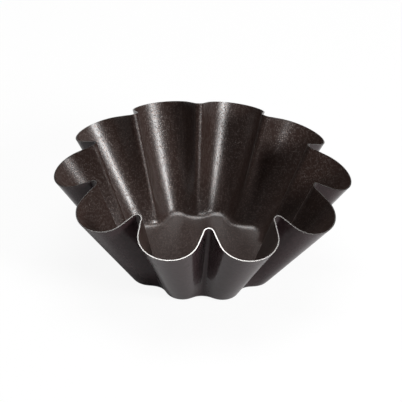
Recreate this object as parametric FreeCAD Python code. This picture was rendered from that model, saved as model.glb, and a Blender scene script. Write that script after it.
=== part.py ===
import FreeCAD, Part
import math
import os

# Fluted brioche mould, pressed from one round steel sheet that is coated on both sides.
# Millimetres, +Z up. The origin is on the table under the middle of the foot. A flute points along +X.

# Driving dimensions, in plan where they are radii, and of the outermost skin.
FLUTES = 10
RIM_DIAMETER = 220.0          # over the flute tips, at the cut edge
TIP_HEIGHT = 71.0             # from the table to the cut edge at a flute tip
VALLEY_HEIGHT = 84.0          # from the table to the cut edge in a valley
RIM_FLUTE_RADIUS = 23.5       # the flutes and valleys at VALLEY_HEIGHT
RIM_VALLEY_RADIUS = 3.0
RIM_FLANK_TURN = 88.4         # degrees between a flute's axis and the square to its straight flank
FOOT_DIAMETER = 116.5         # over the flute tips, where the wall would meet the table without a round
FOOT_FLUTE_RADIUS = 12.0      # the flutes and valleys at the table
FOOT_VALLEY_RADIUS = 13.5
FOOT_FLANK_TURN = 45.5
CORNER_REACH = 4.0            # how far the round between floor and wall reaches along each of them
STEEL_THICKNESS = 0.6         # of the floor and of the wall at the flute tips
INNER_COAT_THICKNESS = 0.15
OUTER_COAT_THICKNESS = 0.15

FLANK_LEFT = 0.05             # least share of a flank that stays straight beside a large valley round
HALF_STEPS = 16               # even steps from a valley's middle to a flute's tip along a drawn line
RIM_TURNS = 40                # repeats after which a wall line's height at the rim has settled

UP = FreeCAD.Vector(0, 0, 1)
HALF_PITCH = math.pi / FLUTES
# A slanting wall's thickness reaches further on the level than square to the wall.
LEAN = math.hypot(1, (RIM_DIAMETER - FOOT_DIAMETER) / 2 / TIP_HEIGHT)


def heading(angle):
    return FreeCAD.Vector(math.cos(angle), math.sin(angle), 0)


def rising(foot, rim, height, rim_height):
    """A size at some height, if it changes evenly from the table to the rim height."""
    return foot + (rim - foot) * height / rim_height


def half_flute(height, inset):
    """Line from a valley's middle to a flute's tip: valley arc, straight flank and flute arc.

    The inset is measured on the level, from the outermost skin. Returns evenly spaced points and the length.
    """
    tip = rising(FOOT_DIAMETER / 2, RIM_DIAMETER / 2, height, TIP_HEIGHT) - inset
    flute_round = rising(FOOT_FLUTE_RADIUS, RIM_FLUTE_RADIUS, height, VALLEY_HEIGHT) - inset
    valley_round = rising(FOOT_VALLEY_RADIUS, RIM_VALLEY_RADIUS, height, VALLEY_HEIGHT) + inset
    turn = math.radians(rising(FOOT_FLANK_TURN, RIM_FLANK_TURN, height, VALLEY_HEIGHT))

    flute_centre = heading(0) * (tip - flute_round)
    flute_arc = [flute_centre + heading(a) * flute_round for a in (turn, turn / 2, 0)]
    # Both flanks beside a valley would meet in a sharp corner on the valley's axis.
    opening = turn - HALF_PITCH
    corner = heading(HALF_PITCH) * (flute_arc[0].dot(heading(turn)) / math.cos(opening))
    flank = (flute_arc[0] - corner).Length
    valley_round = min(valley_round, flank * (1 - FLANK_LEFT) / math.tan(opening))
    valley_centre = corner + heading(HALF_PITCH) * (valley_round / math.cos(opening))
    valley_arc = [valley_centre - heading(a) * valley_round
                  for a in (HALF_PITCH, (HALF_PITCH + turn) / 2, turn)]

    line = Part.Wire([
        Part.Arc(*valley_arc).toShape(),
        Part.LineSegment(valley_arc[-1], flute_arc[0]).toShape(),
        Part.Arc(*flute_arc).toShape(),
    ])
    return [p + UP * height for p in line.discretize(Number=HALF_STEPS + 1)], line.Length


def part_way(low, high, shares):
    """Line across the wall, at each point's share of the way from a low line to a high one."""
    points = [a + (b - a) * share for a, b, share in zip(low[0], high[0], shares)]
    return points, low[1] + (high[1] - low[1]) * shares[0]


def rim_share(low, high, fall, level):
    """Share of the way up a wall line, low to high, at which it meets the rim's cone."""
    share = 1.0
    for _ in range(RIM_TURNS):
        point = low + (high - low) * share
        share = (level - fall * math.hypot(point.x, point.y) - low.z) / (high.z - low.z)
    return share


def flute_curve(line):
    """One smooth curve over a whole flute, from valley to valley: a half flute and its mirror image."""
    half, length = line
    points = [FreeCAD.Vector(p.x, -p.y, p.z) for p in half] + half[-2::-1]
    curve = Part.BSplineCurve()
    curve.interpolate(
        Points=points,
        Parameters=[i / HALF_STEPS for i in range(len(points))],
        InitialTangent=heading(math.pi / 2 - HALF_PITCH) * length,
        FinalTangent=heading(math.pi / 2 + HALF_PITCH) * length,
        Scale=False,
    )
    return curve


def patch(*curves):
    """Surface from the first curve to the last: straight for two, a round inside the middle of three."""
    order = len(curves)
    poles = [list(column) for column in zip(*(c.getPoles() for c in curves))]
    surface = Part.BSplineSurface()
    surface.buildFromPolesMultsKnots(
        poles, curves[0].getMultiplicities(), [order, order], curves[0].getKnots(), [0, 1],
        False, False, curves[0].Degree, order - 1,
    )
    return surface.toShape()


def round_the_mould(shape):
    """Copies of one flute's shape, one for each flute."""
    turns = [360 * i / FLUTES for i in range(FLUTES)]
    return [shape.copy().rotate(FreeCAD.Vector(), UP, turn) for turn in turns]


def skin(depth):
    """Faces of the surface that lies this deep under the outermost one, and its flute's curve at the rim."""
    inset = depth * LEAN
    valley = half_flute(VALLEY_HEIGHT, 0)[0][0]
    valley_radius = math.hypot(valley.x, valley.y)
    fall = (VALLEY_HEIGHT - TIP_HEIGHT) / (RIM_DIAMETER / 2 - valley_radius)
    level = VALLEY_HEIGHT + fall * valley_radius

    floor = half_flute(depth, inset + CORNER_REACH)
    foot = half_flute(depth, inset)
    top = half_flute(VALLEY_HEIGHT, inset)
    wall_lines = list(zip(foot[0], top[0]))
    corner = part_way(foot, top, [CORNER_REACH / (b - a).Length for a, b in wall_lines])
    rim = part_way(foot, top, [rim_share(a, b, fall, level) for a, b in wall_lines])

    floor, foot, corner, rim = (flute_curve(line) for line in (floor, foot, corner, rim))
    faces = round_the_mould(patch(floor, foot, corner)) + round_the_mould(patch(corner, rim))
    faces.append(Part.Face(Part.Wire(round_the_mould(floor.toShape()))))
    return faces, rim


def layer(outer_depth, inner_depth):
    """Solid between two skins, closed by the cut edge at the rim."""
    outer_faces, outer_rim = skin(outer_depth)
    inner_faces, inner_rim = skin(inner_depth)
    shell = Part.makeShell(outer_faces + inner_faces + round_the_mould(patch(outer_rim, inner_rim)))
    shell.sewShape()
    solid = Part.makeSolid(shell)
    if solid.Volume < 0:
        solid.reverse()
    return solid


def main():
    steel_outside = OUTER_COAT_THICKNESS
    steel_inside = steel_outside + STEEL_THICKNESS
    nodes = {
        "outer_coat": layer(0, steel_outside),
        "steel_shell": layer(steel_outside, steel_inside),
        "nonstick_lining": layer(steel_inside, steel_inside + INNER_COAT_THICKNESS),
    }
    os.makedirs("parts", exist_ok=True)
    for name, solid in nodes.items():
        print(name, "valid" if solid.isValid() else "NOT VALID", len(solid.Faces), "faces")
        solid.exportStep(f"parts/{name}.step")


main()
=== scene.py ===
import math

import bpy
from mathutils import Matrix, Vector

# A fluted brioche mould of coated sheet steel. The solids keep their shapes and get their finishes here:
# a pebbled dark brown lining with pale metallic flakes, a smooth satin coat outside, and bare steel that
# shows as the bright cut edge round the rim. Metres, +Z up, in the frame of the solids.

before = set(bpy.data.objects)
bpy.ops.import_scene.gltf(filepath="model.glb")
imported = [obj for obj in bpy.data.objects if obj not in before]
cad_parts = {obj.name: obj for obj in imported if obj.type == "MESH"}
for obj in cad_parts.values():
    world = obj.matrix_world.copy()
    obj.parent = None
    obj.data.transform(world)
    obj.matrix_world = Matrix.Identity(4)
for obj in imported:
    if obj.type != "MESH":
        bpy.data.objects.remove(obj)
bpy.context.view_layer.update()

# The camera, as the photograph was taken. Angles are in degrees, and azimuths go from the front to the right.
CAMERA_AZIMUTH = -3.98
CAMERA_ELEVATION = 34.05
CAMERA_ROLL = 2.86
CAMERA_DISTANCE = 1.838
CAMERA_AIM = Vector((-0.0007, 0.0, 0.0508))
CAMERA_LENS = 0.2216
SENSOR_WIDTH = 0.036
MILLIMETRES = 1000            # in a metre, for the lens and the sensor

# The studio. Each lamp stands at its distance from the camera's aim and faces it.
TABLE_RADIUS = 6.0
TABLE_CORNERS = 96
TABLE_COLOUR = (0.90, 0.90, 0.90)
TABLE_ROUGHNESS = 0.9
TABLE_GLOW = 0.92             # share of the table's look that is plain white, which keeps a faint shadow
GLOSS_GLOW = 0.10             # the same, as the mould's gloss shows it
ROOM_LIGHT = 0.02
KEY_LIGHT = {"azimuth": 48, "elevation": 28, "distance": 1.6, "width": 0.40, "height": 0.60, "radiance": 34}
TOP_LIGHT = {"azimuth": 178, "elevation": 82, "distance": 1.4, "width": 1.00, "height": 0.85, "radiance": 6.2}

# The lining: dark pebbles of uneven height, and pale metallic flakes among them.
LINING_GRAIN = {"Pebbles per metre": 1050.0, "Pebble reach": 0.72, "Tall rarity": 2.0, "Dark share": 0.55}
LINING_DARK = (0.026, 0.0140, 0.0110)
LINING_FLAKE = (0.175, 0.138, 0.125)
LINING_ROUGHNESS = (0.33, 0.42)
LINING_SPECULAR = 0.8
FLAKE_METALLIC = 0.9
LINING_BUMP = 0.00012

# The outer coat: nearly smooth, and barely mottled.
OUTER_GRAIN = {"Pebbles per metre": 320.0, "Pebble reach": 0.80, "Tall rarity": 0.0, "Dark share": 0.50}
OUTER_DARK = (0.026, 0.0155, 0.0168)
OUTER_PALE = (0.033, 0.0200, 0.0215)
OUTER_ROUGHNESS = (0.15, 0.22)
OUTER_SPECULAR = 0.18
OUTER_BUMP = 0.000015

# The cut steel of the rim, finely rough.
EDGE_GRAIN = {"Pebbles per metre": 2600.0, "Pebble reach": 0.70, "Tall rarity": 0.0, "Dark share": 0.50}
EDGE_DARK = (0.40, 0.39, 0.38)
EDGE_PALE = (0.48, 0.47, 0.46)
EDGE_ROUGHNESS = (0.34, 0.50)
EDGE_BUMP = 0.00002


def outward(azimuth, elevation):
    """Direction from the mould, as the camera's angles are measured."""
    a, e = math.radians(azimuth), math.radians(elevation)
    return Vector((math.sin(a) * math.cos(e), -math.cos(a) * math.cos(e), math.sin(e)))


def new_material(name):
    """A material, its node tree and its Principled shader."""
    material = bpy.data.materials.new(name)
    material.use_nodes = True
    tree = material.node_tree
    return material, tree, next(n for n in tree.nodes if n.type == "BSDF_PRINCIPLED")


def spread(tree, value, low, high):
    """Maps a value of 0 to 1 onto a range."""
    node = tree.nodes.new("ShaderNodeMapRange")
    node.inputs["To Min"].default_value = low
    node.inputs["To Max"].default_value = high
    tree.links.new(value, node.inputs["Value"])
    return node.outputs["Result"]


def blend(tree, mask, below, above):
    """Colour that goes from one to the other with the mask."""
    node = tree.nodes.new("ShaderNodeMix")
    node.data_type = "RGBA"
    colours = {s.name: s for s in node.inputs if s.type == "RGBA"}
    colours["A"].default_value = (*below, 1)
    colours["B"].default_value = (*above, 1)
    tree.links.new(mask, node.inputs["Factor"])
    return next(s for s in node.outputs if s.type == "RGBA")


def raise_by(tree, shader, height, distance):
    """Bumps a surface by a height of 0 to 1."""
    bump = tree.nodes.new("ShaderNodeBump")
    bump.inputs["Distance"].default_value = distance
    tree.links.new(height, bump.inputs["Height"])
    tree.links.new(bump.outputs["Normal"], shader.inputs["Normal"])


def grain_group():
    """Grain of a finish: round pebbles as a height, and a mask of the pale ones among them.

    The rarity of tall pebbles is 0 where all are as high. The dark share stays out of the mask.
    """
    group = bpy.data.node_groups.new("coat_grain", "ShaderNodeTree")
    for name in ("Pebbles per metre", "Pebble reach", "Tall rarity", "Dark share"):
        group.interface.new_socket(name, in_out="INPUT", socket_type="NodeSocketFloat")
    for name in ("Height", "Pale"):
        group.interface.new_socket(name, in_out="OUTPUT", socket_type="NodeSocketFloat")
    given = group.nodes.new("NodeGroupInput")
    result = group.nodes.new("NodeGroupOutput")
    place = group.nodes.new("ShaderNodeTexCoord")
    cells = group.nodes.new("ShaderNodeTexVoronoi")
    rise = group.nodes.new("ShaderNodeMapRange")
    rise.interpolation_type = "SMOOTHSTEP"
    rise.inputs["From Max"].default_value = 0.0
    chance = group.nodes.new("ShaderNodeSeparateColor")
    stature = group.nodes.new("ShaderNodeMath")
    stature.operation = "POWER"
    height = group.nodes.new("ShaderNodeMath")
    height.operation = "MULTIPLY"
    pick = group.nodes.new("ShaderNodeMath")
    pick.operation = "GREATER_THAN"
    pale = group.nodes.new("ShaderNodeMath")
    pale.operation = "MULTIPLY"
    link = group.links.new
    link(place.outputs["Object"], cells.inputs["Vector"])
    link(given.outputs["Pebbles per metre"], cells.inputs["Scale"])
    link(cells.outputs["Distance"], rise.inputs["Value"])
    link(given.outputs["Pebble reach"], rise.inputs["From Min"])
    link(cells.outputs["Color"], chance.inputs["Color"])
    link(chance.outputs["Red"], stature.inputs[0])
    link(given.outputs["Tall rarity"], stature.inputs[1])
    link(rise.outputs["Result"], height.inputs[0])
    link(stature.outputs["Value"], height.inputs[1])
    link(chance.outputs["Green"], pick.inputs[0])
    link(given.outputs["Dark share"], pick.inputs[1])
    link(pick.outputs["Value"], pale.inputs[0])
    link(rise.outputs["Result"], pale.inputs[1])
    link(height.outputs["Value"], result.inputs["Height"])
    link(pale.outputs["Value"], result.inputs["Pale"])
    return group


def grain(tree, group, settings):
    """Adds the grain to a material. Returns its height and its mask of pale pebbles."""
    node = tree.nodes.new("ShaderNodeGroup")
    node.node_tree = group
    for name, value in settings.items():
        node.inputs[name].default_value = value
    return node.outputs["Height"], node.outputs["Pale"]


def lining_finish(group):
    material, tree, shader = new_material("pebbled_lining")
    height, pale = grain(tree, group, LINING_GRAIN)
    tree.links.new(blend(tree, pale, LINING_DARK, LINING_FLAKE), shader.inputs["Base Color"])
    tree.links.new(spread(tree, pale, *LINING_ROUGHNESS), shader.inputs["Roughness"])
    tree.links.new(spread(tree, pale, 0.0, FLAKE_METALLIC), shader.inputs["Metallic"])
    shader.inputs["Specular IOR Level"].default_value = LINING_SPECULAR
    raise_by(tree, shader, height, LINING_BUMP)
    return material


def outer_finish(group):
    material, tree, shader = new_material("satin_outer_coat")
    height, pale = grain(tree, group, OUTER_GRAIN)
    tree.links.new(blend(tree, pale, OUTER_DARK, OUTER_PALE), shader.inputs["Base Color"])
    tree.links.new(spread(tree, height, *OUTER_ROUGHNESS), shader.inputs["Roughness"])
    shader.inputs["Specular IOR Level"].default_value = OUTER_SPECULAR
    raise_by(tree, shader, height, OUTER_BUMP)
    return material


def edge_finish(group):
    material, tree, shader = new_material("cut_steel_edge")
    height, pale = grain(tree, group, EDGE_GRAIN)
    tree.links.new(blend(tree, pale, EDGE_DARK, EDGE_PALE), shader.inputs["Base Color"])
    tree.links.new(spread(tree, height, *EDGE_ROUGHNESS), shader.inputs["Roughness"])
    shader.inputs["Metallic"].default_value = 1.0
    raise_by(tree, shader, height, EDGE_BUMP)
    return material


def coat(node, material):
    """Gives a solid its finish."""
    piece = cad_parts[node]
    piece.data.materials.clear()
    piece.data.materials.append(material)


def softbox(name, azimuth, elevation, distance, width, height, radiance):
    """A lamp of one even radiance that faces the mould."""
    lamp = bpy.data.lights.new(name, "AREA")
    lamp.shape = "RECTANGLE"
    lamp.size = width
    lamp.size_y = height
    lamp.energy = radiance * math.pi * width * height
    rig = bpy.data.objects.new(name, lamp)
    towards = outward(azimuth, elevation)
    rig.location = CAMERA_AIM + towards * distance
    rig.rotation_euler = towards.to_track_quat("Z", "Y").to_euler()
    rig.visible_camera = False
    bpy.context.scene.collection.objects.link(rig)


def table():
    """White table that the camera sees nearly shadowless, and the mould's gloss a little less shadowed."""
    bpy.ops.mesh.primitive_circle_add(vertices=TABLE_CORNERS, radius=TABLE_RADIUS, fill_type="NGON")
    top = bpy.context.object
    top.name = "table"
    material, tree, shader = new_material("white_table")
    shader.inputs["Base Color"].default_value = (*TABLE_COLOUR, 1)
    shader.inputs["Roughness"].default_value = TABLE_ROUGHNESS
    shader.inputs["Specular IOR Level"].default_value = 0.0
    glow = tree.nodes.new("ShaderNodeEmission")
    rays = tree.nodes.new("ShaderNodeLightPath")
    share = spread(tree, rays.outputs["Is Camera Ray"], 0.0, TABLE_GLOW)
    for ray in ("Is Glossy Ray", "Is Transmission Ray"):
        larger = tree.nodes.new("ShaderNodeMath")
        larger.operation = "MAXIMUM"
        tree.links.new(share, larger.inputs[0])
        tree.links.new(spread(tree, rays.outputs[ray], 0.0, GLOSS_GLOW), larger.inputs[1])
        share = larger.outputs["Value"]
    look = tree.nodes.new("ShaderNodeMixShader")
    tree.links.new(share, look.inputs["Fac"])
    tree.links.new(shader.outputs["BSDF"], look.inputs[1])
    tree.links.new(glow.outputs["Emission"], look.inputs[2])
    surface = next(n for n in tree.nodes if n.type == "OUTPUT_MATERIAL")
    tree.links.new(look.outputs["Shader"], surface.inputs["Surface"])
    top.data.materials.append(material)


def room():
    """Weak, even light from all round."""
    world = bpy.data.worlds.new("room")
    world.use_nodes = True
    background = next(n for n in world.node_tree.nodes if n.type == "BACKGROUND")
    background.inputs["Color"].default_value = (1, 1, 1, 1)
    background.inputs["Strength"].default_value = ROOM_LIGHT
    bpy.context.scene.world = world


def camera():
    data = bpy.data.cameras.new("camera")
    data.sensor_width = SENSOR_WIDTH * MILLIMETRES
    data.lens = CAMERA_LENS * MILLIMETRES
    eye = bpy.data.objects.new("camera", data)
    back = outward(CAMERA_AZIMUTH, CAMERA_ELEVATION)
    turn = (-back).to_track_quat("-Z", "Y").to_matrix().to_4x4()
    roll = Matrix.Rotation(math.radians(CAMERA_ROLL), 4, "Z")
    eye.matrix_world = Matrix.Translation(CAMERA_AIM + back * CAMERA_DISTANCE) @ turn @ roll
    bpy.context.scene.collection.objects.link(eye)
    bpy.context.scene.camera = eye


coat_grain = grain_group()
coat("nonstick_lining", lining_finish(coat_grain))
coat("outer_coat", outer_finish(coat_grain))
coat("steel_shell", edge_finish(coat_grain))
table()
room()
softbox("key_light", **KEY_LIGHT)
softbox("top_light", **TOP_LIGHT)
camera()
bpy.context.scene.view_settings.view_transform = "Standard"
